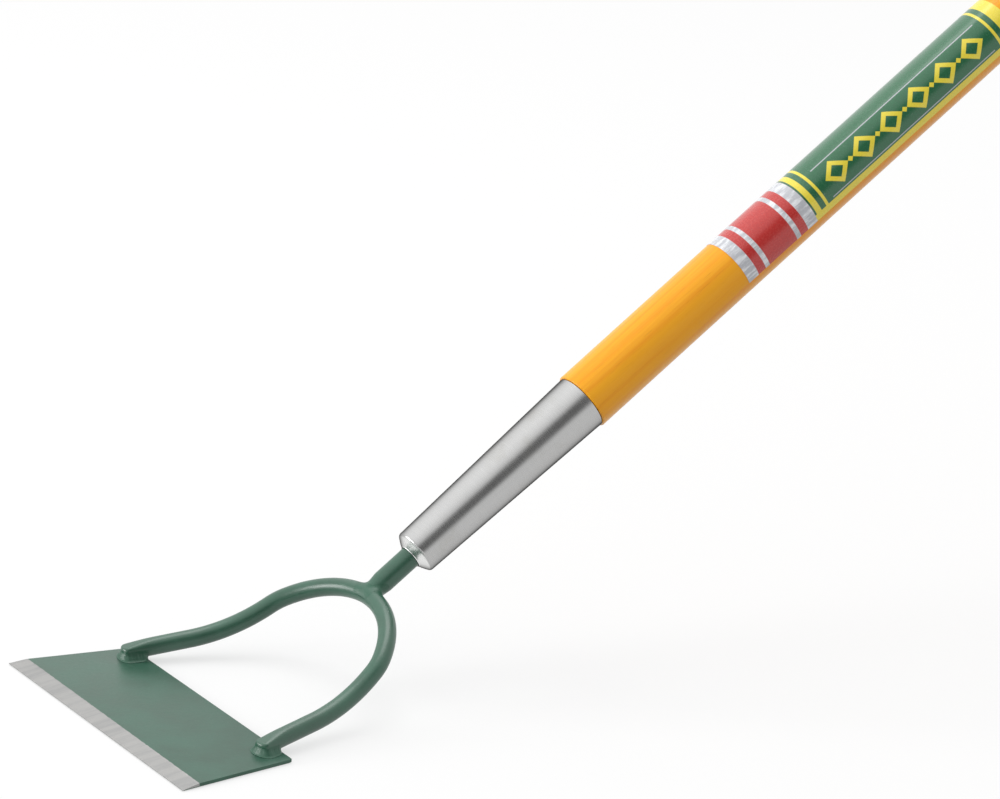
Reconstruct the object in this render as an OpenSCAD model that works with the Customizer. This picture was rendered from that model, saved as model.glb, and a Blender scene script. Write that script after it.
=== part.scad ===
// Dutch hoe: a flat push blade carried on a bent rod bow, with a ferruled wooden handle.
// Millimetres. The origin is the middle of the blade's sole, where the hoe meets the ground.
// +X is to the user's left as they push the blade away, +Y runs back from the cutting edge, +Z is up.

/* [Blade] */
// Width along the cutting edge
blade_w = 152; // [120:1:200]
// How far each side runs in, from the cutting edge to the heel
side_run = 7.5; // [0:0.5:15]
// Depth from the cutting edge to the heel
blade_d = 56.5; // [40:0.5:80]
// Thickness of the plate
blade_t = 1.5; // [1.2:0.1:3]
// Depth of the bevel ground on the top face
bevel_d = 8.5; // [4:0.5:15]
// Thickness left at the cutting edge
edge_t = 0.3; // [0.2:0.1:1]

/* [Bow] */
// Diameter of the bow's rod
rod_d = 8; // [6:0.5:10]
// Distance from a heel corner to the rod's centre line
foot_inset = 12; // [10:0.5:20]
// Length of rod that lies on the blade
foot_len = 11; // [8:1:18]
// Height of the pressed toe over the plate
toe_h = 5; // [3:0.1:6]
// Height of the rod's underside over the plate at the heel
foot_lift = 0.3; // [0:0.1:1.5]
// Slope of the rod where it crosses the heel, in degrees
foot_slope = 7.5; // [4:0.5:12]
// Straight length of rod between the heel and the leg's bend
shin_len = 20; // [10:0.5:40]
// Bend radius of each leg, to the rod's centre line
leg_r = 82; // [50:1:110]
// Bend radius of each shoulder, to the rod's centre line
shoulder_r = 21; // [12:1:30]
// Bend of each shoulder, in degrees
shoulder_a = 20; // [10:1:40]
// Half the bend of the crown, in degrees
crown_a = 56; // [45:1:65]

/* [Welds] */
// Width of the foot weld beside the rod
foot_weld_w = 2.5; // [1.5:0.5:5]
// Height of the foot weld over the plate
foot_weld_h = 3; // [2:0.5:4]
// Radius of the fillet between the shank and the bow
neck_weld_r = 5; // [3:0.5:8]
// Thickness of the weld's skin over the shank's end
neck_weld_t = 0.25; // [0.2:0.05:0.6]

/* [Shank] */
// Slope of the handle over the blade, in degrees
handle_a = 35.5; // [25:0.5:45]
// Diameter of the shank
shank_d = 10; // [9:0.5:13]
// Length of shank that shows, from the bow's centre line to the ferrule
neck_len = 25.5; // [18:0.5:60]
// Distance from the ferrule's mouth back to the tang's tip
tang_back = 18; // [10:1:40]
// Diameter of the tang at its tip
tang_tip_d = 5; // [3:0.5:8]

/* [Ferrule] */
// Length of the ferrule
ferrule_len = 104.5; // [80:0.5:140]
// Outer diameter where the taper starts, behind the nose
nose_d = 21; // [18:0.5:23]
// Outer diameter at the mouth
mouth_d = 26.4; // [24:0.2:27]
// Thickness of the tube
ferrule_t = 1.2; // [0.8:0.1:2]
// Radius of the corner between the taper and the nose
nose_r = 1.5; // [0.5:0.5:2.5]
// Slope of the nose's face, in degrees
nose_a = 30; // [0:5:40]

/* [Ferrule pin] */
// Diameter of the pin
pin_d = 2.4; // [1.6:0.2:3]
// Diameter of its head
pin_head_d = 4.8; // [4:0.2:7]
// Height of its head
pin_head_h = 0.9; // [0.6:0.1:1.5]
// Length of pin in the wood
pin_len = 6; // [4:0.5:7]
// Distance from the ferrule's mouth to the pin
pin_back = 18; // [10:1:30]

/* [Handle] */
// Diameter of the handle
handle_d = 28; // [27:0.5:34]
// Length of the handle, with its turned end inside the ferrule
handle_len = 1370; // [800:10:1800]
// Radius on the shoulder that meets the ferrule
shoulder_edge_r = 0.6; // [0.2:0.1:0.7]
// Height of the domed end
dome_h = 10; // [4:1:14]

/* [Label] */
// Distance from the ferrule's mouth to the label
label_back = 92; // [40:1:200]
// Length of the label
label_len = 175; // [60:1:250]
// Turn of the label around the handle, in degrees
label_wrap = 270; // [120:5:340]
// Place of the label's near edge around the handle, in degrees above +X
label_edge_a = -15; // [-90:1:90]
// Thickness of the label
label_t = 0.12; // [0.1:0.02:0.2]

/* [Fits] */
// Clearance between the shank and the ferrule's nose
shank_gap = 0.2; // [0.1:0.05:0.5]
// Clearance of the turned end, the tang and the pin in their seats
fit_gap = 0.1; // [0.05:0.05:0.3]
// Glue line under the label
glue_t = 0.03; // [0.02:0.01:0.05]

/* [Hidden] */
$fn = 144;
RING_FN = 32;
ARC_STEPS = 8;
FILLET_STEPS = 5;
FILLET_END = 80;
// Each bend laps the rod on either side of it by a hair, so that they fuse.
LAP_L = 0.5;
LAP_T = 0.03;

rod_r = rod_d / 2;
shank_r = shank_d / 2;
handle_r = handle_d / 2;
heel_w = blade_w - 2 * side_run;
edge_y = -blade_d / 2;
heel_y = blade_d / 2;

// The bow's centre line, in the plane of its crown: crown, shoulder, leg bend, then the straight foot.
turn_a = crown_a + shoulder_a;
leg_tilt = atan2(sin(turn_a) * sin(handle_a), cos(handle_a));
leg_reach = sqrt(pow(cos(handle_a), 2) + pow(sin(turn_a) * sin(handle_a), 2));
leg_a = leg_tilt - asin(sin(foot_slope) / leg_reach);
foot_x = heel_w / 2 - foot_inset;
foot_z = blade_t + rod_r + foot_lift;
leg_run = leg_r * sin(leg_a) + shin_len * cos(leg_a);
leg_rise = leg_r * (1 - cos(leg_a)) + shin_len * sin(leg_a);
shoulder_dx = shoulder_r * (sin(turn_a) - sin(crown_a));
shoulder_dy = shoulder_r * (cos(crown_a) - cos(turn_a));
crown_r = (foot_x - shoulder_dx - leg_run * cos(turn_a)) / sin(crown_a);
leg_x = crown_r * sin(crown_a) + shoulder_dx;
leg_y = -crown_r * (1 - cos(crown_a)) - shoulder_dy;
heel_dy = leg_y - leg_run * sin(turn_a);

// Where the crown lies so that the feet cross the heel at their height over the plate.
crown_y = heel_y - heel_dy * cos(handle_a) + leg_rise * sin(handle_a);
crown_z = foot_z - heel_dy * sin(handle_a) - leg_rise * cos(handle_a);
foot_turn = asin(cos(leg_a) * cos(turn_a) / cos(foot_slope));
foot_run = foot_len * cos(foot_slope);

// Stations along the handle's axis, from the bow's centre line at the crown.
cope_q = rod_r / 2;
fillet_q = rod_r + neck_weld_r;
nose_q = neck_len;
mouth_q = nose_q + ferrule_len;
hole_r = shank_r + shank_gap;
corner_r = nose_d / 2 - nose_r;
seat_q = nose_q + (corner_r + nose_r * sin(nose_a) - hole_r) * tan(nose_a) + nose_r * cos(nose_a);
tang_q = mouth_q - tang_back;
wood_q = seat_q + fit_gap;
end_q = wood_q + handle_len;
pin_q = mouth_q - pin_back;
label_q = mouth_q + label_back;

function ferrule_r(q) = nose_d / 2 + (mouth_d - nose_d) / 2 * (q - seat_q) / (mouth_q - seat_q);
function arc(cx, cy, rx, ry, a0, a1) =
    [for (i = [0 : ARC_STEPS]) let (a = a0 + (a1 - a0) * i / ARC_STEPS) [cx + rx * cos(a), cy + ry * sin(a)]];

pin_seat_r = ferrule_r(pin_q);

// Moves a shape drawn along +Z from the crown onto the handle's axis.
module along_handle() {
    translate([0, crown_y, crown_z])
        rotate([handle_a - 90, 0, 0])
            children();
}

// Moves a shape drawn in the XY plane onto the plane of the crown.
module crown_plane() {
    translate([0, crown_y, crown_z])
        rotate([handle_a, 0, 0])
            children();
}

// Moves a shape drawn in the XY plane onto the plane of the left leg's bend.
module leg_plane() {
    crown_plane()
        translate([leg_x, leg_y, 0])
            rotate([90, 0, -turn_a])
                children();
}

module rod_arc(r, from, turn) {
    rotate_extrude(angle = turn, start = from)
        translate([r, 0])
            circle(d = rod_d);
}

module lapped_arc(r, from, turn) {
    lap_a = LAP_L / r * 180 / PI;
    rotate_extrude(angle = turn + 2 * lap_a, start = from - lap_a)
        translate([r, 0])
            circle(r = rod_r + LAP_T);
}

module crown_rod() {
    crown_plane()
        translate([0, -crown_r, 0])
            lapped_arc(crown_r, 90 - crown_a, 2 * crown_a);
}

module foot_rod() {
    leg_plane()
        translate([leg_r * sin(leg_a), leg_r * (1 - cos(leg_a)), 0])
            rotate([0, 90, leg_a])
                cylinder(d = rod_d, h = shin_len + foot_len);
}

module leg_rods() {
    crown_plane()
        translate([(crown_r - shoulder_r) * sin(crown_a), (crown_r - shoulder_r) * cos(crown_a) - crown_r, 0])
            rod_arc(shoulder_r, 90 - turn_a, shoulder_a);
    leg_plane()
        translate([0, leg_r, 0])
            lapped_arc(leg_r, -90, leg_a);
    foot_rod();
}

// A revolve about the handle's axis, with the outline given as [radius, station].
module turned(outline) {
    along_handle()
        rotate_extrude()
            polygon(outline);
}

module tang_shape(gap) {
    turned([
        [0, cope_q],
        [rod_r + gap, cope_q],
        [shank_r + gap, fillet_q],
        [shank_r + gap, seat_q],
        [tang_tip_d / 2 + gap, tang_q + gap],
        [0, tang_q + gap]
    ]);
}

module pin_shape(gap) {
    along_handle()
        translate([0, pin_seat_r - ferrule_t - pin_len - gap, pin_q])
            rotate([-90, 0, 0])
                cylinder(d = pin_d + 2 * gap, h = pin_len + ferrule_t + pin_head_h / 2 + gap);
}

// The space above a foot's pressed face, which slopes from the top of the rod at the heel down to the toe.
module foot_press() {
    translate([foot_x, heel_y, blade_t])
        rotate([90, 0, foot_turn + 90])
            linear_extrude(4 * rod_d, center = true)
                polygon([
                    [0, foot_lift + rod_d],
                    [-foot_run, toe_h],
                    [-2 * foot_run, toe_h],
                    [-2 * foot_run, 2 * rod_d],
                    [0, 2 * rod_d]
                ]);
}

module foot_weld() {
    difference() {
        intersection() {
            translate([foot_x, heel_y, blade_t])
                rotate([0, 0, foot_turn])
                    hull()
                        for (y = [-foot_run, foot_weld_w])
                            translate([0, y, 0])
                                cylinder(r1 = rod_r + foot_weld_w, r2 = rod_r, h = foot_weld_h, $fn = RING_FN);
            translate([0, edge_y, 0])
                cube([blade_w, blade_d, blade_t + foot_weld_h]);
        }
        foot_rod();
        foot_press();
    }
}

// The neck's fillet, as rings that widen along the bow as they come down the shank.
function neck_w(a) = shank_r + neck_weld_t + neck_weld_r * (1 - cos(a));
function neck_q(a) = fillet_q - neck_weld_r * sin(a) - pow(neck_w(a), 2) / (2 * (crown_r + rod_r));
function neck_h(q) = rod_r + (shank_r - rod_r) * (q - cope_q) / (fillet_q - cope_q) + neck_weld_t;
function ring(w, h, q) =
    [for (i = [0 : RING_FN - 1]) let (a = 360 * i / RING_FN) [w * cos(a), h * sin(a), q]];

module neck_fillet() {
    saddle = ring(neck_w(FILLET_END), rod_r - neck_weld_t, -neck_weld_t);
    flare = [
        for (i = [FILLET_STEPS : -1 : 0])
            let (a = FILLET_END * i / FILLET_STEPS)
                ring(neck_w(a), neck_h(neck_q(a)), neck_q(a))
    ];
    rings = concat([saddle], flare);
    last = (len(rings) - 1) * RING_FN;
    sides = [
        for (k = [0 : len(rings) - 2], i = [0 : RING_FN - 1])
            let (a = k * RING_FN + i, b = k * RING_FN + (i + 1) % RING_FN)
                each [[a, a + RING_FN, b], [b, a + RING_FN, b + RING_FN]]
    ];
    caps = [
        [for (i = [0 : RING_FN - 1]) i],
        [for (i = [RING_FN - 1 : -1 : 0]) last + i]
    ];
    polyhedron([for (r = rings) each r], concat(sides, caps));
}

module blade() {
    color([0.42, 0.50, 0.45])
        intersection() {
            linear_extrude(blade_t)
                polygon([
                    [-blade_w / 2, edge_y],
                    [blade_w / 2, edge_y],
                    [heel_w / 2, heel_y],
                    [-heel_w / 2, heel_y]
                ]);
            translate([-blade_w / 2, 0, 0])
                rotate([90, 0, 90])
                    linear_extrude(blade_w)
                        polygon([
                            [edge_y, 0],
                            [heel_y, 0],
                            [heel_y, blade_t],
                            [edge_y + bevel_d, blade_t],
                            [edge_y, edge_t]
                        ]);
        }
}

// The feet are pressed to wedges, flat where they seat on the plate.
module bow() {
    color([0.16, 0.33, 0.26])
        difference() {
            union() {
                crown_rod();
                for (s = [0, 1])
                    mirror([s, 0, 0])
                        leg_rods();
            }
            translate([-blade_w / 2, edge_y, blade_t - rod_d])
                cube([blade_w, blade_d, rod_d]);
            for (s = [0, 1])
                mirror([s, 0, 0])
                    foot_press();
        }
}

module left_weld() {
    color([0.13, 0.36, 0.25])
        foot_weld();
}

module right_weld() {
    color([0.13, 0.36, 0.25])
        mirror([1, 0, 0])
            foot_weld();
}

module neck_weld() {
    color([0.13, 0.36, 0.25])
        difference() {
            along_handle()
                neck_fillet();
            crown_rod();
            tang_shape(0);
        }
}

// The shank's end is coped to the bow, and its other end is a tapered tang.
module shank() {
    color([0.16, 0.33, 0.26])
        difference() {
            tang_shape(0);
            crown_rod();
        }
}

module ferrule() {
    color([0.72, 0.73, 0.74])
        difference() {
            turned(concat(
                [[hole_r, seat_q], [hole_r, nose_q]],
                arc(corner_r, seat_q, nose_r, nose_r, nose_a - 90, 0),
                [
                    [mouth_d / 2, mouth_q],
                    [mouth_d / 2 - ferrule_t, mouth_q],
                    [nose_d / 2 - ferrule_t, seat_q]
                ]
            ));
            pin_shape(fit_gap);
        }
}

module ferrule_pin() {
    color([0.60, 0.60, 0.60]) {
        pin_shape(0);
        along_handle()
            translate([0, pin_seat_r, pin_q])
                rotate([-90, 0, 0])
                    cylinder(d1 = pin_head_d, d2 = pin_head_d / 2, h = pin_head_h);
    }
}

module handle() {
    plug_gap = ferrule_t + fit_gap;
    color([0.93, 0.58, 0.11])
        difference() {
            turned(concat(
                [
                    [0, wood_q],
                    [ferrule_r(wood_q) - plug_gap, wood_q],
                    [ferrule_r(mouth_q) - plug_gap, mouth_q + fit_gap]
                ],
                arc(handle_r - shoulder_edge_r, mouth_q + fit_gap + shoulder_edge_r,
                    shoulder_edge_r, shoulder_edge_r, -90, 0),
                arc(0, end_q - dome_h, handle_r, dome_h, 0, 90)
            ));
            tang_shape(fit_gap);
            pin_shape(fit_gap);
        }
}

module label() {
    color([0.16, 0.42, 0.25])
        along_handle()
            rotate_extrude(angle = label_wrap, start = -label_edge_a - label_wrap)
                translate([handle_r + glue_t, label_q])
                    square([label_t, label_len]);
}

blade();
bow();
left_weld();
right_weld();
neck_weld();
shank();
ferrule();
ferrule_pin();
handle();
label();
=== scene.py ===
import math

import bmesh
import bpy
from mathutils import Matrix, Vector


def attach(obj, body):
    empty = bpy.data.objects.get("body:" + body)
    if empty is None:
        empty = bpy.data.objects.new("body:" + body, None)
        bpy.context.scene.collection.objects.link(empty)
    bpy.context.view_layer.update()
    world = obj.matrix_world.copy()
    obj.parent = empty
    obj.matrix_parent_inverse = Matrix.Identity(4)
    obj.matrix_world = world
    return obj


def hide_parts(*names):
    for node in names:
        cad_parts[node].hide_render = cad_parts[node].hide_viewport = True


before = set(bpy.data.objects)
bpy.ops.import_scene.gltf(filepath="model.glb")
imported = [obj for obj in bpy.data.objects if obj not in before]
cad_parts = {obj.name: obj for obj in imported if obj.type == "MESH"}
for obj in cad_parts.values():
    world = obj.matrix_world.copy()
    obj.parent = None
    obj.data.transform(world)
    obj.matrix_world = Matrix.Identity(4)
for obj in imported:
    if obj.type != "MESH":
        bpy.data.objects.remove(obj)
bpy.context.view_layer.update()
scene = bpy.context.scene
MM = 0.001
TAU = 2 * math.pi
WHITE = (1, 1, 1, 1)

# Sizes repeated from the part's source, in millimetres and degrees
BLADE_W, SIDE_RUN, BLADE_D, BLADE_T, BEVEL_D, EDGE_T = 152, 7.5, 56.5, 1.5, 8.5, 0.3
ROD_R, FOOT_INSET, FOOT_LEN, TOE_H, FOOT_LIFT, FOOT_SLOPE = 4, 12, 11, 5, 0.3, 7.5
SHIN_LEN, LEG_R, SHOULDER_R, SHOULDER_A, CROWN_A = 20, 82, 21, 20, 56
HANDLE_A, SHANK_R, NECK_LEN, COPE_Q, FILLET_Q = 35.5, 5, 25.5, 2, 9
FERRULE_LEN, NOSE_D, MOUTH_D, FERRULE_T = 104.5, 21, 26.4, 1.2
NOSE_R, NOSE_A, SHANK_GAP = 1.5, 30, 0.2
PIN_R, PIN_HEAD_R, PIN_HEAD_H, PIN_LEN, PIN_BACK = 1.2, 2.4, 0.9, 6, 18
HANDLE_R, HANDLE_LEN, SHOULDER_EDGE_R, DOME_H = 14, 1370, 0.6, 10
LABEL_BACK, LABEL_LEN, LABEL_WRAP, LABEL_EDGE_A, LABEL_T = 92, 175, 270, -15, 0.12
FIT_GAP, GLUE_T = 0.1, 0.03

# Places that follow from them, as in the source. Stations named _Q run up the handle from the crown.
EDGE_Y, HEEL_Y = -BLADE_D / 2, BLADE_D / 2
BEVEL_Y = EDGE_Y + BEVEL_D
HEEL_W = BLADE_W - 2 * SIDE_RUN
slope_a, handle_a = math.radians(FOOT_SLOPE), math.radians(HANDLE_A)
crown_a, shoulder_a = math.radians(CROWN_A), math.radians(SHOULDER_A)
turn_a = crown_a + shoulder_a
leg_tilt = math.atan2(math.sin(turn_a) * math.sin(handle_a), math.cos(handle_a))
leg_reach = math.hypot(math.cos(handle_a), math.sin(turn_a) * math.sin(handle_a))
leg_a = leg_tilt - math.asin(math.sin(slope_a) / leg_reach)
FOOT_X = HEEL_W / 2 - FOOT_INSET
FOOT_Z = BLADE_T + ROD_R + FOOT_LIFT
leg_run = LEG_R * math.sin(leg_a) + SHIN_LEN * math.cos(leg_a)
leg_rise = LEG_R * (1 - math.cos(leg_a)) + SHIN_LEN * math.sin(leg_a)
shoulder_dx = SHOULDER_R * (math.sin(turn_a) - math.sin(crown_a))
shoulder_dy = SHOULDER_R * (math.cos(crown_a) - math.cos(turn_a))
CROWN_R = (FOOT_X - shoulder_dx - leg_run * math.cos(turn_a)) / math.sin(crown_a)
LEG_X = CROWN_R * math.sin(crown_a) + shoulder_dx
LEG_Y = -CROWN_R * (1 - math.cos(crown_a)) - shoulder_dy
heel_dy = LEG_Y - leg_run * math.sin(turn_a)
CROWN_Y = HEEL_Y - heel_dy * math.cos(handle_a) + leg_rise * math.sin(handle_a)
CROWN_Z = FOOT_Z - heel_dy * math.sin(handle_a) - leg_rise * math.cos(handle_a)
foot_turn = math.asin(math.cos(leg_a) * math.cos(turn_a) / math.cos(slope_a))
FOOT_RUN = FOOT_LEN * math.cos(slope_a)
NOSE_Q = NECK_LEN
MOUTH_Q = NOSE_Q + FERRULE_LEN
nose_a = math.radians(NOSE_A)
HOLE_R = SHANK_R + SHANK_GAP
CORNER_R = NOSE_D / 2 - NOSE_R
RIM_R = CORNER_R + NOSE_R * math.sin(nose_a)
SEAT_Q = NOSE_Q + (RIM_R - HOLE_R) * math.tan(nose_a) + NOSE_R * math.cos(nose_a)
WOOD_Q = SEAT_Q + FIT_GAP
END_Q = WOOD_Q + HANDLE_LEN
PIN_Q = MOUTH_Q - PIN_BACK
LABEL_Q = MOUTH_Q + LABEL_BACK

# The handle's own frame: z runs up the handle from the crown, y points to its underside
HANDLE = (Matrix.Translation(Vector((0, CROWN_Y, CROWN_Z)) * MM)
          @ Matrix.Rotation(handle_a - math.pi / 2, 4, "X"))


def ferrule_r(q):
    """Outer radius of the ferrule's cone."""
    return NOSE_D / 2 + (MOUTH_D - NOSE_D) / 2 * (q - SEAT_Q) / (MOUTH_Q - SEAT_Q)


def wobble(x, seed):
    """A smooth repeatable waver of about -1 to 1, from a few sines."""
    return sum(math.sin(x * f + seed * p) for f, p in ((1.0, 1.3), (2.3, 2.9), (5.1, 0.7))) / 3


def smooth_min(a, b, k):
    """The lesser of two values, with the crease between them rounded over k."""
    h = max(k - abs(a - b), 0) / k
    return min(a, b) - h * h * k / 4


# Mesh helpers. Points are given in millimetres.
def piece(name, verts, faces, stands_for, mat, matrix=None, sharp=40):
    """Makes an object from points and faces."""
    mesh = bpy.data.meshes.new(name)
    mesh.from_pydata([tuple(c * MM for c in v) for v in verts], [], faces)
    bm = bmesh.new()
    bm.from_mesh(mesh)
    bmesh.ops.recalc_face_normals(bm, faces=bm.faces)
    bm.to_mesh(mesh)
    bm.free()
    place(name, mesh, stands_for, mat, matrix, sharp)


def place(name, mesh, stands_for, mat, matrix=None, sharp=40):
    """Puts a mesh in the scene as a piece of the part, smooth but for edges sharper than an angle."""
    for poly in mesh.polygons:
        poly.use_smooth = True
    mesh.set_sharp_from_angle(angle=math.radians(sharp))
    mesh.materials.append(mat)
    obj = bpy.data.objects.new(name, mesh)
    scene.collection.objects.link(obj)
    if matrix is not None:
        obj.matrix_world = matrix
    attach(obj, "root")
    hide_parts(stands_for)


def lathe(profile, segments, closed=False, radius_shift=None):
    """Turns (radius, station) points about the z axis. A radius of 0 becomes one point."""
    verts, faces, rings = [], [], []
    for r, q in profile:
        if r < 1e-6:
            rings.append([len(verts)])
            verts.append((0, 0, q))
            continue
        ring = []
        for i in range(segments):
            a = TAU * i / segments
            rr = r + (radius_shift(a, q) if radius_shift else 0)
            ring.append(len(verts))
            verts.append((rr * math.cos(a), rr * math.sin(a), q))
        rings.append(ring)
    pairs = list(zip(rings, rings[1:])) + ([(rings[-1], rings[0])] if closed else [])
    for a, b in pairs:
        for i in range(segments):
            j = (i + 1) % segments
            if len(a) == 1:
                faces.append((a[0], b[j], b[i]))
            elif len(b) == 1:
                faces.append((a[i], a[j], b[0]))
            else:
                faces.append((a[i], a[j], b[j], b[i]))
    return verts, faces


def arc(cx, cy, rx, ry, start, end, steps):
    """Points on an ellipse, from one angle to another in degrees."""
    angles = [math.radians(start + (end - start) * i / steps) for i in range(steps + 1)]
    return [(cx + rx * math.cos(a), cy + ry * math.sin(a)) for a in angles]


def loft(rings):
    """Joins rings of points, each with the same count, into one closed skin."""
    n = len(rings[0])
    verts = [tuple(p) for r in rings for p in r]
    faces = []
    for k in range(len(rings) - 1):
        a, b = k * n, (k + 1) * n
        for i in range(n):
            j = (i + 1) % n
            faces.append((a + i, a + j, b + j, b + i))
    faces.append(tuple(range(n - 1, -1, -1)))
    faces.append(tuple(range((len(rings) - 1) * n, len(rings) * n)))
    return verts, faces


# Node helpers
def put(tree, socket, value):
    """Links an output into a socket, or sets the socket's own value."""
    if isinstance(value, bpy.types.NodeSocket):
        tree.links.new(value, socket)
    else:
        socket.default_value = value


def node(tree, kind, ins=None, **props):
    n = tree.nodes.new(kind)
    for k, v in props.items():
        setattr(n, k, v)
    for k, v in (ins or {}).items():
        put(tree, n.inputs[k], v)
    return n


def maths(tree, op, a, b=0.0):
    return node(tree, "ShaderNodeMath", {0: a, 1: b}, operation=op).outputs[0]


def mapped(tree, x, low, high, out_low, out_high, kind):
    ins = {"Value": x, "From Min": low, "From Max": high, "To Min": out_low, "To Max": out_high}
    return node(tree, "ShaderNodeMapRange", ins, interpolation_type=kind).outputs[0]


class Shader:
    """A Principled material whose inputs are built up from procedural nodes, in the object's own metres."""

    def __init__(self, name):
        self.mat = bpy.data.materials.new(name)
        self.mat.use_nodes = True
        self.tree = self.mat.node_tree
        self.bsdf = self.tree.nodes["Principled BSDF"]
        self.co = node(self.tree, "ShaderNodeTexCoord").outputs["Object"]

    def set(self, **values):
        for k, v in values.items():
            put(self.tree, self.bsdf.inputs[k.replace("_", " ")], v)

    def math(self, op, a, b=0.0):
        return maths(self.tree, op, a, b)

    def times(self, a, b):
        return self.math("MULTIPLY", a, b)

    def plus(self, a, b):
        return self.math("ADD", a, b)

    def less(self, a, b):
        return self.math("SUBTRACT", a, b)

    def vector(self, op, a, b):
        return node(self.tree, "ShaderNodeVectorMath", {0: a, 1: b}, operation=op).outputs

    def stretch(self, sx, sy, sz, vec=None):
        return self.vector("MULTIPLY", vec or self.co, (sx, sy, sz))[0]

    def noise(self, vec, scale, detail, rough):
        ins = {"Vector": vec, "Scale": scale, "Detail": detail, "Roughness": rough}
        return node(self.tree, "ShaderNodeTexNoise", ins).outputs["Fac"]

    def xyz(self):
        return node(self.tree, "ShaderNodeSeparateXYZ", {0: self.co}).outputs

    def step(self, x, low, high):
        return mapped(self.tree, x, low, high, 0.0, 1.0, "SMOOTHSTEP")

    def ramp(self, x, low, high, out_low, out_high):
        return mapped(self.tree, x, low, high, out_low, out_high, "LINEAR")

    def mix(self, fac, a, b):
        n = node(self.tree, "ShaderNodeMix", data_type="RGBA")
        for name, v in (("Factor_Float", fac), ("A_Color", a), ("B_Color", b)):
            put(self.tree, next(i for i in n.inputs if i.identifier == name), v)
        return next(o for o in n.outputs if o.identifier == "Result_Color")

    def bump(self, height, distance, strength, normal=None):
        ins = {"Height": height, "Distance": distance, "Strength": strength}
        if normal is not None:
            ins["Normal"] = normal
        return node(self.tree, "ShaderNodeBump", ins).outputs[0]


def srgb(r, g, b):
    def lin(c):
        c /= 255
        return c / 12.92 if c <= 0.04045 else ((c + 0.055) / 1.055) ** 2.4
    return (lin(r), lin(g), lin(b), 1.0)


# Materials
def green_paint(name, base, pale, rough):
    """Sprayed enamel: a deep green with faint clouding, orange peel and specks of dust under the film."""
    FINE_SHARE, SPECK_SHARE, PEEL_H = 0.35, 0.25, 0.00012
    s = Shader(name)
    cloud = s.noise(s.co, 45, 4, 0.6)
    fine = s.noise(s.co, 650, 3, 0.6)
    speck = s.step(s.noise(s.co, 2100, 1, 0.4), 0.70, 0.76)
    tone = s.mix(s.step(cloud, 0.3, 0.72), base, pale)
    tone = s.mix(s.times(s.step(fine, 0.45, 0.75), FINE_SHARE), tone, pale)
    tone = s.mix(s.times(speck, SPECK_SHARE), tone, srgb(28, 52, 42))
    uneven = s.plus(s.times(cloud, 0.6), s.times(fine, 0.4))
    gloss = s.ramp(uneven, 0.3, 0.7, rough - 0.05, rough + 0.07)
    peel = s.plus(s.noise(s.co, 420, 2, 0.5), s.times(s.noise(s.co, 1500, 2, 0.5), 0.4))
    film = s.bump(peel, PEEL_H, 0.35)
    s.set(Base_Color=tone, Roughness=gloss, Normal=film)
    return s, tone, gloss, film


def bow_material(deep, pale):
    s, *_ = green_paint("bow_enamel", deep, pale, 0.33)
    s.set(IOR=1.65)
    return s.mat


def weld_material(deep, pale):
    """The bow's enamel over the pitted skin of a weld."""
    s, _, _, film = green_paint("weld_enamel", deep, pale, 0.42)
    pits = s.noise(s.co, 700, 3, 0.6)
    s.set(IOR=1.55, Normal=s.bump(pits, 0.0002, 0.3, film))
    return s.mat


def blade_material():
    """The same enamel, ground through to bare steel along the bevel."""
    RAGGED, BREAK = 0.0007, 0.12
    s, tone, gloss, film = green_paint("blade_enamel", srgb(38, 79, 61), srgb(50, 94, 76), 0.36)
    _, y, z = s.xyz()
    ragged = s.times(s.less(s.noise(s.stretch(1, 0.15, 1), 500, 3, 0.6), 0.5), RAGGED)
    front = s.plus(y, ragged)
    over_edge = s.step(z, 0.00025, 0.0003)
    bare = s.times(s.step(front, (BEVEL_Y + BREAK) * MM, (BEVEL_Y - BREAK) * MM), over_edge)
    worn_edge = s.step(front, (EDGE_Y + 0.9) * MM, (EDGE_Y + 0.4) * MM)
    bare = s.math("MAXIMUM", bare, worn_edge)
    lines = s.noise(s.stretch(1, 0.03, 0.03), 2600, 3, 0.7)
    wide = s.noise(s.stretch(1, 0.06, 0.06), 300, 2, 0.5)
    steel = s.mix(lines, srgb(138, 138, 137), srgb(173, 172, 170))
    steel = s.mix(s.times(s.step(wide, 0.4, 0.7), 0.4), steel, srgb(132, 133, 134))
    painted = s.times(gloss, s.less(1.0, bare))
    ground = s.times(s.ramp(lines, 0.3, 0.7, 0.38, 0.52), bare)
    s.set(Base_Color=s.mix(bare, tone, steel), Metallic=bare, Roughness=s.plus(painted, ground),
          Normal=s.bump(s.times(lines, bare), 0.00008, 0.5, film))
    return s.mat


def ferrule_material():
    """Drawn steel tube, polished round and round, with a painted highlight on the spun nose: its face is
    near white, standing in for the bright reflection there.
    """
    NOSE_HIGHLIGHT_FROM, NOSE_HIGHLIGHT_TO = SEAT_Q - 1.0, SEAT_Q - 1.5
    s = Shader("ferrule_steel")
    q = s.xyz()[2]
    turn = s.noise(s.stretch(0.04, 0.04, 1), 3800, 3, 0.7)
    drawn = s.noise(s.stretch(1, 1, 0.02), 900, 2, 0.6)
    smudge = s.noise(s.co, 60, 4, 0.6)
    tone = s.mix(turn, srgb(174, 174, 174), srgb(192, 192, 191))
    tone = s.mix(s.times(s.step(smudge, 0.5, 0.75), 0.35), tone, srgb(162, 160, 154))
    # Painted highlight: the nose face is near white, for the bright reflection it shows
    tone = s.mix(s.step(q, NOSE_HIGHLIGHT_FROM * MM, NOSE_HIGHLIGHT_TO * MM), tone, srgb(238, 238, 237))
    uneven = s.plus(s.times(smudge, 0.5), s.times(turn, 0.5))
    s.set(Base_Color=tone, Metallic=1.0, Specular_Tint=(0.05, 0.05, 0.05, 1.0),
          Roughness=s.ramp(uneven, 0.3, 0.7, 0.20, 0.32),
          Normal=s.bump(s.plus(turn, s.times(drawn, 0.6)), 0.00002, 0.35))
    return s.mat


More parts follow.
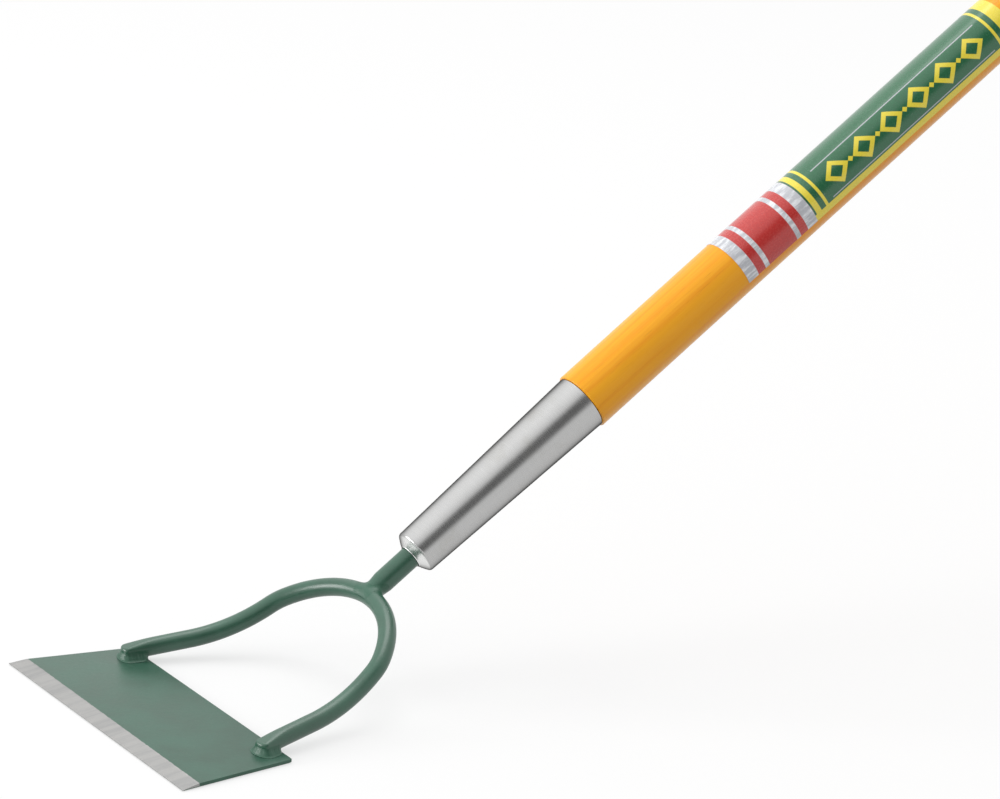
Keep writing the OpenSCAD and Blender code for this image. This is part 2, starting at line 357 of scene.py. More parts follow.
def pin_material():
    s = Shader("pin_steel")
    hammer = s.noise(s.co, 900, 2, 0.5)
    s.set(Base_Color=s.mix(hammer, srgb(150, 150, 150), srgb(186, 186, 184)), Metallic=1.0,
          Roughness=s.ramp(hammer, 0.3, 0.7, 0.28, 0.48), Normal=s.bump(hammer, 0.0004, 0.5))
    return s.mat


def handle_material():
    """Ash under a tinted varnish. The grain runs along the handle, with open pores and faint bands."""
    DRIFT, PITH, RING_T = 0.010, (0.031, 0.012, 0), 0.0021
    s = Shader("handle_varnish")
    q = s.xyz()[2]
    drift = s.times(s.less(s.noise(s.stretch(1, 1, 0.05), 60, 2, 0.5), 0.5), DRIFT)
    bent = s.vector("ADD", s.co, node(s.tree, "ShaderNodeCombineXYZ", {0: drift}).outputs[0])[0]
    rings = s.noise(s.stretch(1, 0.35, 0.012, bent), 420, 3, 0.55)
    fibre = s.noise(s.stretch(1, 1, 0.02, bent), 2600, 3, 0.6)
    pores = s.step(s.noise(s.stretch(1, 1, 0.03, bent), 3600, 1, 0.4), 0.66, 0.74)
    patches = s.step(s.noise(s.stretch(1, 1, 0.2), 26, 3, 0.6), 0.45, 0.75)
    band = s.step(rings, 0.38, 0.66)
    tone = s.mix(band, srgb(251, 173, 18), srgb(245, 157, 10))
    tone = s.mix(s.times(s.step(fibre, 0.4, 0.75), 0.35), tone, srgb(252, 182, 40))
    tone = s.mix(s.times(pores, s.ramp(band, 0, 1, 0.12, 0.4)), tone, srgb(180, 96, 8))
    tone = s.mix(s.times(patches, 0.35), tone, srgb(220, 128, 8))
    # End grain on the dome: growth rings about a pith outside the handle, darker where varnish soaks in
    from_pith = s.vector("DISTANCE", s.stretch(1, 1, 0, bent), PITH)["Value"]
    growth = s.step(s.math("FRACT", s.math("DIVIDE", from_pith, RING_T)), 0.25, 0.95)
    end = s.step(q, (END_Q - 7) * MM, (END_Q - 3) * MM)
    tone = s.mix(s.times(end, s.ramp(growth, 0, 1, 0.30, 0.75)), tone, srgb(206, 116, 8))
    s.set(Base_Color=tone, Roughness=s.ramp(fibre, 0.3, 0.7, 0.34, 0.46), Specular_IOR_Level=0.25,
          Coat_Weight=0.32, Coat_Roughness=0.22, Coat_IOR=1.45,
          Normal=s.bump(s.less(s.times(fibre, 0.4), pores), 0.00006, 0.2))
    return s.mat


def label_material():
    """A printed film of plain bands and lozenges, laid out in metres up the handle and around it."""
    # Row of lozenges: pitch, distance from the film's edge, first and last station, half length and width
    PITCH, ROW, FIRST, LAST = 0.0175, 0.0125, 0.0555, 0.1605
    OPEN, HOLE, DOT = (0.0072, 0.0062), (0.0040, 0.0034), (0.0016, 0.0014)
    LINE, BORDER, SOFT = (0.0078, 0.0083), 0.0034, 0.00012
    RINGS = ((0.0445, 0.0475), (0.0505, 0.0520), (0.1640, 0.1655), (0.1685, 0.1751))
    FOIL_END, FOIL_RINGS = 0.0435, ((0.0, 0.006), (0.0105, 0.013), (0.0305, 0.033), (0.0375, 0.0435))
    green, green_pale, yellow = srgb(22, 96, 58), srgb(34, 112, 72), srgb(240, 220, 62)
    red, red_pale, scuffed = srgb(188, 34, 34), srgb(206, 60, 46), srgb(196, 204, 190)
    silver, white = srgb(190, 192, 198), srgb(238, 240, 244)

    s = Shader("label_film")
    x, y, q = s.xyz()
    # Turns the angle so that 0 is the middle of the film and the jump in angle is off the film
    middle = math.radians(LABEL_EDGE_A + LABEL_WRAP / 2)
    cm, sm = math.cos(middle), math.sin(middle)
    up = s.times(y, -1.0)
    u = s.plus(s.times(x, cm), s.times(up, sm))
    v = s.less(s.times(up, cm), s.times(x, sm))
    around = s.times(s.math("ARCTAN2", v, u), HANDLE_R * MM)
    low_edge = -math.radians(LABEL_WRAP / 2) * HANDLE_R * MM
    from_edge = s.less(around, low_edge)
    t = s.less(q, LABEL_Q * MM)

    def over(value, edge):
        return s.step(value, edge - SOFT, edge + SOFT)

    def under(value, edge):
        return s.less(1.0, over(value, edge))

    def between(value, low, high):
        return s.times(over(value, low), under(value, high))

    mottled = s.noise(s.co, 900, 2, 0.5)
    colour = s.mix(s.times(mottled, 0.5), green, green_pale)

    # Open lozenges with small solid ones between, in one row along the green field
    along = s.math("DIVIDE", s.less(t, FIRST), PITCH)
    aside = s.math("ABSOLUTE", s.less(from_edge, ROW))

    def lozenge(shift, half_l, half_w):
        cell = s.less(s.math("FRACT", s.plus(along, shift)), 0.5)
        lengthwise = s.math("DIVIDE", s.math("ABSOLUTE", s.times(cell, PITCH)), half_l)
        size = s.plus(lengthwise, s.math("DIVIDE", aside, half_w))
        return s.less(1.0, s.step(size, 0.97, 1.03))

    hollow = s.times(lozenge(0.0, *OPEN), s.less(1.0, lozenge(0.0, *HOLE)))
    colour = s.mix(s.times(hollow, between(t, FIRST, LAST)), colour, yellow)
    dots = s.times(lozenge(0.5, *DOT), between(t, FIRST + PITCH / 2, LAST - PITCH / 2))
    colour = s.mix(dots, colour, yellow)

    # A border along the film's free edge, two fine lines beside the row, and rings at both ends
    colour = s.mix(under(from_edge, BORDER), colour, yellow)
    colour = s.mix(s.times(between(aside, *LINE), between(t, FIRST, LAST)), colour, silver)
    for low, high in RINGS:
        colour = s.mix(between(t, low, high), colour, yellow)

    # The first stretch is red foil between silver rings. The white streaks in the rings are painted sheen,
    # standing in for the foil's reflections
    sheen_streaks = s.noise(s.stretch(1, 1, 0.25), 420, 3, 0.6)
    painted_foil_sheen = s.mix(s.step(sheen_streaks, 0.4, 0.65), silver, white)
    start = s.mix(s.times(mottled, 0.5), red, red_pale)
    for low, high in FOIL_RINGS:
        start = s.mix(between(t, low, high), start, painted_foil_sheen)
    colour = s.mix(under(t, FOIL_END), colour, start)
    scuff = s.step(s.noise(s.stretch(1, 1, 0.4), 1400, 3, 0.7), 0.66, 0.78)
    colour = s.mix(s.times(scuff, 0.35), colour, scuffed)
    creases = s.noise(s.stretch(1, 1, 0.5), 260, 2, 0.5)
    s.set(Base_Color=colour, Roughness=s.ramp(mottled, 0.3, 0.7, 0.20, 0.32), Coat_Weight=0.5,
          Coat_Roughness=0.1, Normal=s.bump(creases, 0.00006, 0.4))
    return s.mat


# Blade
def make_blade(mat):
    HEEL_ROUND, SHEAR_ROUND = 0.7, 0.28
    w_edge, w_heel = BLADE_W / 2, HEEL_W / 2
    w_bevel = BLADE_W / 2 - SIDE_RUN * BEVEL_D / BLADE_D
    bm = bmesh.new()

    def pair(w, y, z):
        return [bm.verts.new((s * w * MM, y * MM, z * MM)) for s in (-1, 1)]

    sole_f, sole_h = pair(w_edge, EDGE_Y, 0), pair(w_heel, HEEL_Y, 0)
    tip, crest = pair(w_edge, EDGE_Y, EDGE_T), pair(w_bevel, BEVEL_Y, BLADE_T)
    heel = pair(w_heel, HEEL_Y, BLADE_T)
    for loop in ((sole_f[0], sole_h[0], sole_h[1], sole_f[1]),
                 (crest[0], crest[1], heel[1], heel[0]),
                 (tip[0], tip[1], crest[1], crest[0]),
                 (sole_f[0], sole_f[1], tip[1], tip[0]),
                 (sole_h[1], sole_h[0], heel[0], heel[1]),
                 (sole_h[0], sole_f[0], tip[0], crest[0], heel[0]),
                 (sole_f[1], sole_h[1], heel[1], crest[1], tip[1])):
        bm.faces.new(loop)
    bmesh.ops.recalc_face_normals(bm, faces=bm.faces)
    heel_set = set(sole_h + heel)
    corners = [e for e in bm.edges if e.verts[0] in heel_set and e.verts[1] in heel_set
               and abs(e.verts[0].co.z - e.verts[1].co.z) > 0.001]
    bmesh.ops.bevel(bm, geom=corners, offset=HEEL_ROUND * MM, segments=4, profile=0.5, affect="EDGES")
    # Softens the sheared rim of the plate behind the bevel
    bm.normal_update()
    rim = []
    for e in bm.edges:
        if len(e.link_faces) != 2:
            continue
        a, b = (abs(f.normal.z) for f in e.link_faces)
        square = max(a, b) > 0.99 and min(a, b) < 0.5
        if square and all(v.co.y > (BEVEL_Y - 0.01) * MM for v in e.verts):
            rim.append(e)
    bmesh.ops.bevel(bm, geom=rim, offset=SHEAR_ROUND * MM, segments=3, profile=0.5, affect="EDGES")
    mesh = bpy.data.meshes.new("hoe_blade")
    bm.to_mesh(mesh)
    bm.free()
    place("hoe_blade", mesh, "blade", mat, sharp=25)


# Bow. Its toes are rounded over a length, and keep a small flat end.
TOE_ROUND, TOE_DULL = 2.4, 0.97
PRESS_SLOPE = (FOOT_LIFT + 2 * ROD_R - TOE_H) / FOOT_RUN
PLATE_GAP = 0.02


def crown_plane(x, y, z):
    return (x, CROWN_Y + y * math.cos(handle_a) - z * math.sin(handle_a),
            CROWN_Z + y * math.sin(handle_a) + z * math.cos(handle_a))


def leg_plane(u, w):
    return crown_plane(LEG_X + u * math.cos(turn_a), LEG_Y - u * math.sin(turn_a), w)


def half_bow(step):
    """The left half of the bow's centre line, from the crown to the toe."""
    def count(length):
        return max(2, round(length / step))

    pts = []
    n = count(CROWN_R * crown_a)
    for i in range(n):
        a = math.pi / 2 - crown_a * i / n
        pts.append(crown_plane(CROWN_R * math.cos(a), CROWN_R * math.sin(a) - CROWN_R, 0))
    c = CROWN_R - SHOULDER_R
    n = count(SHOULDER_R * shoulder_a)
    for i in range(n):
        a = math.pi / 2 - crown_a - shoulder_a * i / n
        pts.append(crown_plane(c * math.sin(crown_a) + SHOULDER_R * math.cos(a),
                               c * math.cos(crown_a) - CROWN_R + SHOULDER_R * math.sin(a), 0))
    n = count(LEG_R * leg_a)
    for i in range(n):
        a = leg_a * i / n
        pts.append(leg_plane(LEG_R * math.sin(a), LEG_R * (1 - math.cos(a))))
    straight = SHIN_LEN + FOOT_LEN
    n, n_toe = count(straight - TOE_ROUND), 14
    run = [(straight - TOE_ROUND) * i / n for i in range(n)]
    run += [straight - TOE_ROUND * math.cos(math.pi / 2 * i / n_toe) for i in range(n_toe + 1)]
    for d in run:
        pts.append(leg_plane(LEG_R * math.sin(leg_a) + d * math.cos(leg_a),
                             LEG_R * (1 - math.cos(leg_a)) + d * math.sin(leg_a)))
    return pts


def to_foot(x, y):
    """Place beside and along a foot, from the heel: along is negative over the plate."""
    dx, dy = abs(x) - FOOT_X, y - HEEL_Y
    return (dx * math.cos(foot_turn) + dy * math.sin(foot_turn),
            dy * math.cos(foot_turn) - dx * math.sin(foot_turn))


def from_foot(side, beside, along, z):
    """The point at a place beside and along a foot and at a height over the plate."""
    x = FOOT_X + beside * math.cos(foot_turn) - along * math.sin(foot_turn)
    y = HEEL_Y + beside * math.sin(foot_turn) + along * math.cos(foot_turn)
    return (side * x, y, BLADE_T + z)


def press_z(along):
    """Height over the plate of a foot's pressed face."""
    return FOOT_LIFT + 2 * ROD_R + PRESS_SLOPE * max(along, -FOOT_RUN)


def pressed(p):
    """Presses a point of the rod into the wedge of its foot."""
    REACH, HOLD, TOP_SOFT, SEAT_END, SEAT_SOFT, SPREAD = 6, 4, 1.1, 0.3, 0.3, 0.06
    x, y, z = p
    beside, along = to_foot(x, y)
    if along > REACH:
        return p
    over = z - BLADE_T
    squeezed = smooth_min(over, press_z(min(along, HOLD)), TOP_SOFT)
    if along < SEAT_END:
        squeezed = -smooth_min(-squeezed, -PLATE_GAP, SEAT_SOFT)
    lost = max(0.0, min(1.0, (over - squeezed) / ROD_R))
    return from_foot(math.copysign(1, x), beside * (1 + SPREAD * lost), along, squeezed)


def make_bow(mat):
    half = half_bow(1.0)
    path = [Vector(p) for p in [(-x, y, z) for x, y, z in reversed(half[1:])] + half]
    count, around = len(path), 56
    tangents = [(path[min(i + 1, count - 1)] - path[max(i - 1, 0)]).normalized() for i in range(count)]
    side = tangents[0].cross(Vector((0, 0, 1))).normalized()
    rings = []
    for p, t in zip(path, tangents):
        side = (side - t * side.dot(t)).normalized()
        up = t.cross(side)
        from_toe = min((p - path[0]).length, (p - path[-1]).length)
        dull = max(0.0, 1 - from_toe / TOE_ROUND)
        r = ROD_R * math.sqrt(1 - TOE_DULL * dull * dull)
        angles = [TAU * k / around for k in range(around)]
        rings.append([pressed(p + (side * math.cos(a) + up * math.sin(a)) * r) for a in angles])
    verts, faces = loft(rings)
    piece("hoe_bow", verts, faces, "bow", mat, sharp=50)


# Welds
def make_foot_weld(name, side, stands_for, mat):
    """A fillet that runs down one flank of the foot, around its toe and back, where rod and plate blend."""
    LEG, SOFT, PIVOT, CORE_R, CORE_Z = 2.8, 0.8, TOE_ROUND - FOOT_RUN, 1.2, 0.8
    TOE_TAPER = math.sqrt(TOE_DULL) * ROD_R / TOE_ROUND
    # Where the bead thins out at the heel, and how it wavers along its run
    THIN_SHARE, THINNED, RUN_R = 0.35, 0.6, 5
    RIPPLE, RIPPLE_PITCH, WAVER, WAVER_RATE = 0.03, 1.3, 0.12, 0.4
    n_flank, n_toe, steps = 40, 36, 14
    seed = 2 if side > 0 else 5

    def foot(beside, along, z):
        past = max(0.0, PIVOT - along)
        middle = FOOT_LIFT + ROD_R + along * math.tan(slope_a)
        rod = math.sqrt(beside ** 2 + (z - middle) ** 2 + (TOE_TAPER * past) ** 2) - ROD_R
        return max(rod, z - press_z(along))

    def bead(rod, plate, leg):
        return smooth_min(min(rod, plate), (rod + plate - leg) / math.sqrt(2), SOFT)

    def solve(inside, low, high):
        for _ in range(30):
            mid = (low + high) / 2
            low, high = (mid, high) if inside(mid) else (low, mid)
        return low

    def section(along, out, leg):
        """Points (distance out, height) of the fillet at one station, from the plate up to the rod."""
        ends = leg + SOFT * math.sqrt(2)

        def rod(r, z):
            return foot(out[0] * r, along + out[1] * r, z)

        reach = solve(lambda r: rod(r, 0.0) < ends, 0.0, 12.0)
        top = solve(lambda r: rod(r, ends) < 0, 0.0, 6.0)
        low_a = math.atan2(-CORE_Z, reach - CORE_R)
        high_a = math.atan2(ends - CORE_Z, top - CORE_R)
        points = []
        for k in range(steps + 1):
            a = low_a + (high_a - low_a) * k / steps
            c, s = math.cos(a), math.sin(a)

            def inside(d):
                return bead(rod(CORE_R + d * c, CORE_Z + d * s), CORE_Z + d * s, leg) < 0

            t = solve(inside, 0.0, CORE_Z / -s if s < 0 else 9.0)
            points.append((CORE_R + t * c, max(PLATE_GAP, CORE_Z + t * s), c, s))
        return points

    stations = [(i / n_flank, -math.pi) for i in range(n_flank + 1)]
    stations += [(1.0, -math.pi + math.pi * i / n_toe) for i in range(1, n_toe)]
    stations += [(f, 0.0) for f, _ in reversed(stations[:n_flank + 1])]
    rings, run, last = [], 0.0, None
    for share, turn in stations:
        out = (math.cos(turn), math.sin(turn))
        here = (out[0] * RUN_R, PIVOT * share + out[1] * RUN_R)
        run += math.dist(here, last) if last else 0
        last = here
        lift = RIPPLE * math.cos(TAU * run / RIPPLE_PITCH) + WAVER * wobble(run * WAVER_RATE, seed)
        thin = max(0.0, 1 - share / THIN_SHARE)
        ring = []
        for k, (r, z, c, s) in enumerate(section(PIVOT * share, out, LEG * (1 - THINNED * thin * thin))):
            grow = lift * math.sin(math.pi * k / steps)
            ring.append((r + c * grow, max(PLATE_GAP, z + s * grow)))
        ring += [(CORE_R, LEG * 0.7), (CORE_R, PLATE_GAP)]
        points = []
        for r, z in ring:
            beside = out[0] * r
            # The flanks end on the plate's heel, which the foot crosses at a slant
            heel = (-PLATE_GAP - beside * math.sin(foot_turn)) / math.cos(foot_turn)
            along = heel + (PIVOT - heel) * share + out[1] * r
            points.append(from_foot(side, beside, along, z))
        rings.append(points)
    verts, faces = loft(rings)
    piece(name, verts, faces, stands_for, mat, sharp=60)


def make_neck_weld(mat):
    """A smooth fillet between the shank and the crown, where the two bars' distance fields blend."""
    # Breadth of the blend above and below the crown, and how much broader it is at the sides
    BREADTH, SIDE_BREADTH = 0.6, 5.9
    # The fillet ends where it stands this proud of a bar, then dips under that bar's skin
    MIDDLE_Q, THIN, SINK, DIP, LATEST = 1.0, 0.008, math.radians(0.3), 0.05, math.radians(58)
    CORE_SHARE, SADDLE_SHARE, SADDLE_DROP = 0.7, 0.85, 0.4
    segs, steps = 144, 30

    def fields(x, y, q):
        away = math.hypot(x, y)
        bar = ROD_R + (SHANK_R - ROD_R) * min(1, max(0, (q - COPE_Q) / (FILLET_Q - COPE_Q)))
        rod = math.hypot(math.hypot(x, q + CROWN_R) - CROWN_R, y) - ROD_R
        share = (x / away) ** 2 if away > 1e-6 else 1
        return max(away - bar, -q), rod, BREADTH + SIDE_BREADTH * share

    def blend(shank, rod, k):
        h = max(k - abs(shank - rod), 0) / k
        return min(shank, rod) - h ** 3 * k / 6

    def hit(polar, a):
        """Where a line out of the joint's middle leaves the blended bars."""
        d = (math.sin(polar) * math.cos(a), math.sin(polar) * math.sin(a), math.cos(polar))

        def inside(t):
            return blend(*fields(d[0] * t, d[1] * t, MIDDLE_Q + d[2] * t)) < 0

        low, high = 2.0, 2.0
        while inside(high) and high < 24:
            low, high = high, high + 0.3
        for _ in range(24):
            mid = (low + high) / 2
            low, high = (mid, high) if inside(mid) else (low, mid)
        return d, low

    def proud(polar, a):
        """How far the blend stands out from the shank and from the bow."""
        d, t = hit(polar, a)
        return fields(d[0] * t, d[1] * t, MIDDLE_Q + d[2] * t)[:2]

    def border(test, start, stop, a):
        """The first angle that passes the test, found to a fine share of a step."""
        step = math.radians(1)
        angle = start
        while angle < stop and not test(*proud(angle, a)):
            angle += step
        low, high = angle - step, angle
        for _ in range(12):
            mid = (low + high) / 2
            low, high = (low, mid) if test(*proud(mid, a)) else (mid, high)
        return high

    rings = [[] for _ in range(steps + 1)]
    for i in range(segs):
        a = TAU * i / segs
        first = border(lambda shank, rod: shank > THIN, math.radians(20), math.radians(90), a)
        first = min(LATEST, first)
        last = border(lambda shank, rod: rod < min(THIN, shank), first, math.radians(125), a)
        for j in range(steps + 1):
            polar, dip = first + (last - first) * (j - 1) / (steps - 2), 0.0
            if j == 0:
                polar, dip = first - SINK, DIP
            elif j == steps:
                polar, dip = last + SINK, DIP
            d, t = hit(polar, a)
            t += max(0.0, THIN - min(proud(polar, a))) - dip
            rings[j].append((d[0] * t, d[1] * t, MIDDLE_Q + d[2] * t))
    core = [(x * CORE_SHARE, y * CORE_SHARE, q) for x, y, q in rings[0]]
    saddle = [(x * SADDLE_SHARE, y * SADDLE_SHARE, q - SADDLE_DROP) for x, y, q in rings[-1]]
    verts, faces = loft([core] + rings + [saddle])
    piece("neck_fillet", verts, faces, "neck_weld", mat, HANDLE, sharp=25)


# Ferrule, pin, handle and label
def make_ferrule(mat):
    RIM, EDGE, WAVER, MOUTH_EASE, MOUTH_EASE_H = 0.35, 0.3, 0.012, 0.1, 0.2
    # The spun face is a little full between the hole and the corner
    N_FACE, FULL = 10, 0.12
    n_cone, segments = 24, 128
    throat = [(HOLE_R, SEAT_Q), (HOLE_R, NOSE_Q + EDGE)]
    throat += arc(HOLE_R + EDGE, NOSE_Q + EDGE, EDGE, EDGE, 190, 290, 5)
    face = []
    for i in range(N_FACE):
        t = (i + 0.5) / N_FACE
        r = HOLE_R + EDGE + (RIM_R - HOLE_R - EDGE) * t
        face.append((r, NOSE_Q + (r - HOLE_R) * math.tan(nose_a) - FULL * math.sin(math.pi * t)))
    corner = arc(CORNER_R, SEAT_Q, NOSE_R, NOSE_R, NOSE_A - 90, 0, 12)
    length = MOUTH_Q - RIM - SEAT_Q
    stations = [SEAT_Q + length * i / n_cone for i in range(1, n_cone + 1)]
    cone = [(ferrule_r(q), q) for q in stations]
    lip = arc(MOUTH_D / 2 - RIM, MOUTH_Q - RIM, RIM, RIM, 15, 90, 5)
    bore_r = MOUTH_D / 2 - FERRULE_T
    inside = [(bore_r + MOUTH_EASE, MOUTH_Q), (bore_r, MOUTH_Q - MOUTH_EASE_H),
              (NOSE_D / 2 - FERRULE_T, SEAT_Q)]
    verts, faces = lathe(throat + face + corner + cone + lip + inside, segments, closed=True,
                         radius_shift=lambda a, q: WAVER * wobble(a * 2 + q * 0.05, 3))
    piece("ferrule_tube", verts, faces, "ferrule", mat, HANDLE, sharp=35)


def make_pin(mat):
    """A nail with a worn head, point first, along its own z axis."""
    SKIRT, DENT, POINT_R, POINT_H, TAPER_H, HEAD_EASE = 0.15, 0.05, 0.3, 0.1, 2.2, 0.1
    tip = -FERRULE_T - PIN_LEN
    head = arc(0, SKIRT, PIN_HEAD_R, PIN_HEAD_H - SKIRT, 0, 90, 9)
    profile = [(0, tip), (POINT_R, tip + POINT_H), (PIN_R, tip + TAPER_H), (PIN_R, 0.0),
               (PIN_HEAD_R - HEAD_EASE, 0.0)] + head[:-1] + [(0, PIN_HEAD_H)]
    verts, faces = lathe(profile, 40, radius_shift=lambda a, q: DENT * wobble(a * 3, 4) if q > 0.01 else 0)
    stand = (HANDLE @ Matrix.Translation((0, ferrule_r(PIN_Q) * MM, PIN_Q * MM))
             @ Matrix.Rotation(-math.pi / 2, 4, "X"))
    piece("ferrule_nail", verts, faces, "ferrule_pin", mat, stand, sharp=35)


def make_handle(mat):
    WAVER, n_shaft, segments = 0.012, 210, 112
    plug, edge_r = FERRULE_T + FIT_GAP, SHOULDER_EDGE_R
    shoulder = MOUTH_Q + FIT_GAP
    front = [(0, WOOD_Q), (ferrule_r(WOOD_Q) - plug, WOOD_Q), (ferrule_r(MOUTH_Q) - plug, shoulder)]
    edge = arc(HANDLE_R - edge_r, shoulder + edge_r, edge_r, edge_r, -90, 0, 8)
    start, stop = shoulder + edge_r, END_Q - DOME_H
    shaft = [(HANDLE_R, start + (stop - start) * i / n_shaft) for i in range(1, n_shaft)]
    dome = arc(0, stop, HANDLE_R, DOME_H, 0, 90, 20)[:-1] + [(0, END_Q)]

    def shift(a, q):
        return WAVER * (wobble(q * 0.013 + 2 * math.sin(a), 6) - 1) if q > shoulder + 1 else 0

    verts, faces = lathe(front + edge + shaft + dome, segments, radius_shift=shift)
    piece("handle_shaft", verts, faces, "handle", mat, HANDLE, sharp=35)


def make_label(mat):
    """The film, closed on itself, on its layer of glue and slightly creased."""
    CREASE, INSET, n_around, n_along = 0.012, 0.02, 120, 72
    first, last = math.radians(LABEL_EDGE_A), math.radians(LABEL_EDGE_A + LABEL_WRAP)
    angles = [first + (last - first) * k / n_around for k in range(n_around + 1)]
    inner = HANDLE_R + GLUE_T
    rings = []
    for i in range(n_along + 1):
        q = LABEL_Q + LABEL_LEN * i / n_along
        skin, back = [], []
        for a in angles:
            outer = inner + LABEL_T - INSET + CREASE * wobble(q * 0.09 + 3 * a, 7)
            skin.append((outer * math.cos(a), -outer * math.sin(a), q))
            back.append((inner * math.cos(a), -inner * math.sin(a), q))
        rings.append(skin + back[::-1])
    verts, faces = loft(rings)
    piece("label_film", verts, faces, "label", mat, HANDLE, sharp=40)


DEEP_GREEN, PALE_GREEN = srgb(32, 79, 59), srgb(42, 92, 71)
bow_mat, weld_mat = bow_material(DEEP_GREEN, PALE_GREEN), weld_material(DEEP_GREEN, PALE_GREEN)
make_blade(blade_material())
make_bow(bow_mat)
make_foot_weld("bead_left", 1, "left_weld", weld_mat)
make_foot_weld("bead_right", -1, "right_weld", weld_mat)
make_neck_weld(weld_mat)
make_ferrule(ferrule_material())
make_pin(pin_material())
make_handle(handle_material())
make_label(label_material())
# The shank shows as the CAD made it, in the bow's enamel
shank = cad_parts["shank"]
shank.data.materials.clear()
shank.data.materials.append(bow_mat)

# Camera, fitted to the photograph: its right, up and backward directions, then its place in metres
CAM_ROWS = ((0.550941, 0.831683, 0.069045), (-0.295041, 0.116718, 0.948329),
            (0.780651, -0.542844, 0.309685))
CAM_OFFSET = (-0.147489, -0.133677, -1.906263)
FOCAL_PX, WIDTH_PX = 4500, 1000
turned = Matrix(CAM_ROWS).transposed()
cam_data = bpy.data.cameras.new("camera")
cam_data.sensor_fit = "HORIZONTAL"
cam_data.sensor_width = 36
cam_data.lens = FOCAL_PX * cam_data.sensor_width / WIDTH_PX
cam_data.clip_start, cam_data.clip_end = 0.05, 200
cam = bpy.data.objects.new("camera", cam_data)
cam.matrix_world = Matrix.Translation(-(turned @ Vector(CAM_OFFSET))) @ turned.to_4x4()
scene.collection.objects.link(cam)
scene.camera = cam


def seen_rays(tree):
    """1 for rays that show the background: straight to the camera, in gloss or through glass."""
    path = node(tree, "ShaderNodeLightPath").outputs
    seen = maths(tree, "MAXIMUM", path["Is Camera Ray"], path["Is Glossy Ray"])
    return maths(tree, "MAXIMUM", seen, path["Is Transmission Ray"])


# Floor: pale, and close to white where it is seen, with the object's shadow kept. Far off it glows more.
FLOOR_R, FLOOR_DROP, FLOOR_MIDDLE = 90, 0.0004, (0, 0.5, 0)
NEAR, FAR, NEAR_GLOW, FAR_GLOW = 0.9, 2.6, 0.60, 1.0
LIT_TINT, SEEN_TINT = 0.38, 0.92
corners = [(x * FLOOR_R, y * FLOOR_R, 0) for x, y in ((-1, -1), (1, -1), (1, 1), (-1, 1))]
floor_mesh = bpy.data.meshes.new("floor")
floor_mesh.from_pydata(corners, [], [(0, 1, 2, 3)])
floor = bpy.data.objects.new("floor", floor_mesh)
floor.location.z = -FLOOR_DROP
scene.collection.objects.link(floor)
floor_mat = bpy.data.materials.new("floor")
floor_mat.use_nodes = True
tree = floor_mat.node_tree
tree.nodes.clear()
seen = seen_rays(tree)
position = node(tree, "ShaderNodeNewGeometry").outputs["Position"]
ins = {0: position, 1: FLOOR_MIDDLE}
away = node(tree, "ShaderNodeVectorMath", ins, operation="DISTANCE").outputs["Value"]
strength = mapped(tree, away, NEAR, FAR, NEAR_GLOW, FAR_GLOW, "SMOOTHSTEP")
glow_share = maths(tree, "MULTIPLY", seen, strength)
tint = mapped(tree, seen, 0.0, 1.0, LIT_TINT, SEEN_TINT, "LINEAR")
matt = node(tree, "ShaderNodeBsdfDiffuse", {"Color": tint}).outputs[0]
glow = node(tree, "ShaderNodeEmission", {"Color": WHITE}).outputs[0]
surface = node(tree, "ShaderNodeMixShader", {0: glow_share, 1: matt, 2: glow}).outputs[0]
node(tree, "ShaderNodeOutputMaterial", {"Surface": surface})
floor.data.materials.append(floor_mat)

# World: an even white studio. Reflections also show a brighter ceiling, and a strip through the camera's
# place that is left unlit.
FILL = 0.76
STRIP_ACROSS, STRIP_EDGES = (0.495, 0.505, -0.707), (0.51, 0.17)
STRIP_MIDDLE, STRIP_ENDS = (0.856, -0.421, 0.299), (0.55, 0.80)
CEILING, CEILING_EDGES = (-0.35, 0.05, 0.935), (0.45, 0.9)
STRIP_LOSS, CEILING_GAIN = 0.82, 0.45
scene.world = bpy.data.worlds.new("studio")
scene.world.use_nodes = True
tree = scene.world.node_tree
tree.nodes.clear()
direction = node(tree, "ShaderNodeTexCoord").outputs["Generated"]


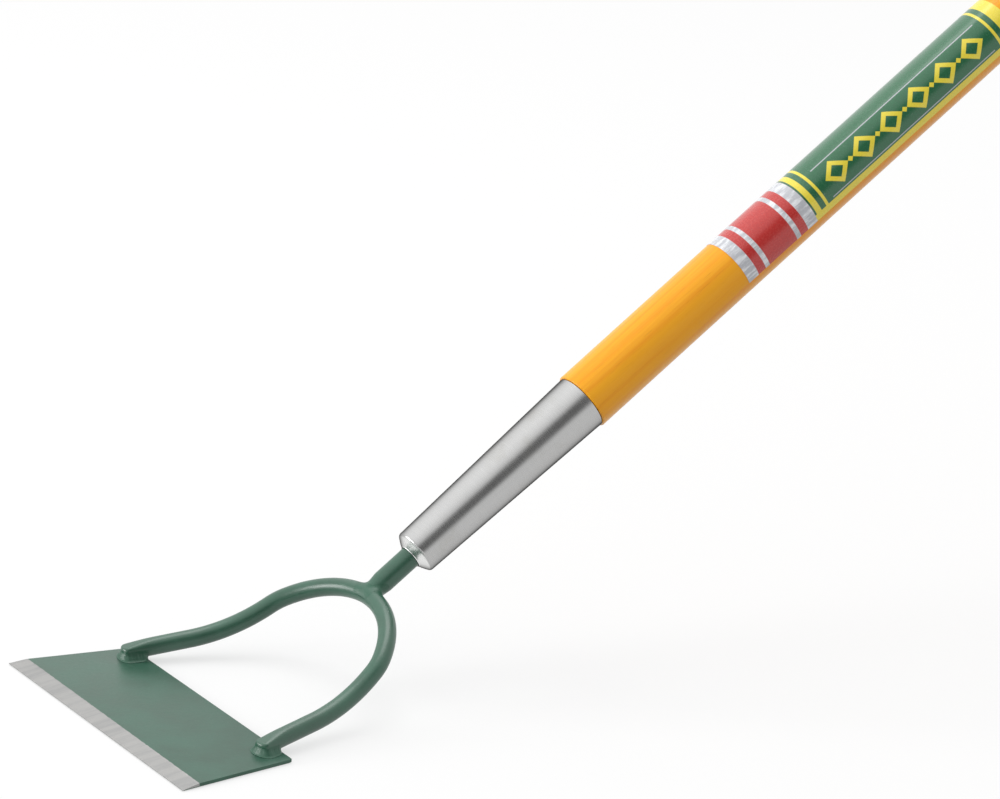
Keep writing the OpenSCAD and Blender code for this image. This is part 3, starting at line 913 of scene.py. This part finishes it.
def by_direction(pole, low, high, either_way=False):
    """0 to 1 as a direction's share along the pole goes from low to high."""
    ins = {0: direction, 1: pole}
    share = node(tree, "ShaderNodeVectorMath", ins, operation="DOT_PRODUCT").outputs["Value"]
    if either_way:
        share = maths(tree, "ABSOLUTE", share)
    return mapped(tree, share, low, high, 0.0, 1.0, "SMOOTHSTEP")


# Straight to the camera the walls are plain white
mirrored = maths(tree, "SUBTRACT", 1.0, node(tree, "ShaderNodeLightPath").outputs["Is Camera Ray"])
strip = maths(tree, "MULTIPLY", by_direction(STRIP_ACROSS, *STRIP_EDGES, either_way=True),
              by_direction(STRIP_MIDDLE, *STRIP_ENDS))
strip = maths(tree, "MULTIPLY", strip, mirrored)
ceiling = maths(tree, "MULTIPLY", by_direction(CEILING, *CEILING_EDGES), mirrored)
gain = maths(tree, "ADD", 1.0, maths(tree, "MULTIPLY", ceiling, CEILING_GAIN))
kept = maths(tree, "SUBTRACT", 1.0, maths(tree, "MULTIPLY", strip, STRIP_LOSS))
level = maths(tree, "MULTIPLY", gain, kept)
fill = node(tree, "ShaderNodeBackground", {"Color": WHITE, "Strength": FILL}).outputs[0]
walls = node(tree, "ShaderNodeBackground", {"Color": WHITE, "Strength": level}).outputs[0]
studio = node(tree, "ShaderNodeMixShader", {0: seen_rays(tree), 1: fill, 2: walls}).outputs[0]
node(tree, "ShaderNodeOutputWorld", {"Surface": studio})

# Softboxes: direction from the hoe's head, distance, width and height in metres, and power in watts
LAMP_TARGET = Vector((0, 0.12, 0.05))
SOFTBOXES = {"key": ((-0.30, 0.22, 0.93), 2.6, 1.5, 1.5, 18),
             "front": ((-0.38, -0.92, 0.19), 2.2, 1.5, 0.9, 30)}
for name, (toward, distance, wide, high, power) in SOFTBOXES.items():
    lamp = bpy.data.lights.new(name, "AREA")
    lamp.shape = "RECTANGLE"
    lamp.size, lamp.size_y = wide, high
    lamp.energy = power
    obj = bpy.data.objects.new(name, lamp)
    obj.location = LAMP_TARGET + Vector(toward).normalized() * distance
    obj.rotation_mode = "QUATERNION"
    obj.rotation_quaternion = (LAMP_TARGET - obj.location).to_track_quat("-Z", "Y")
    scene.collection.objects.link(obj)

scene.view_settings.view_transform = "Standard"
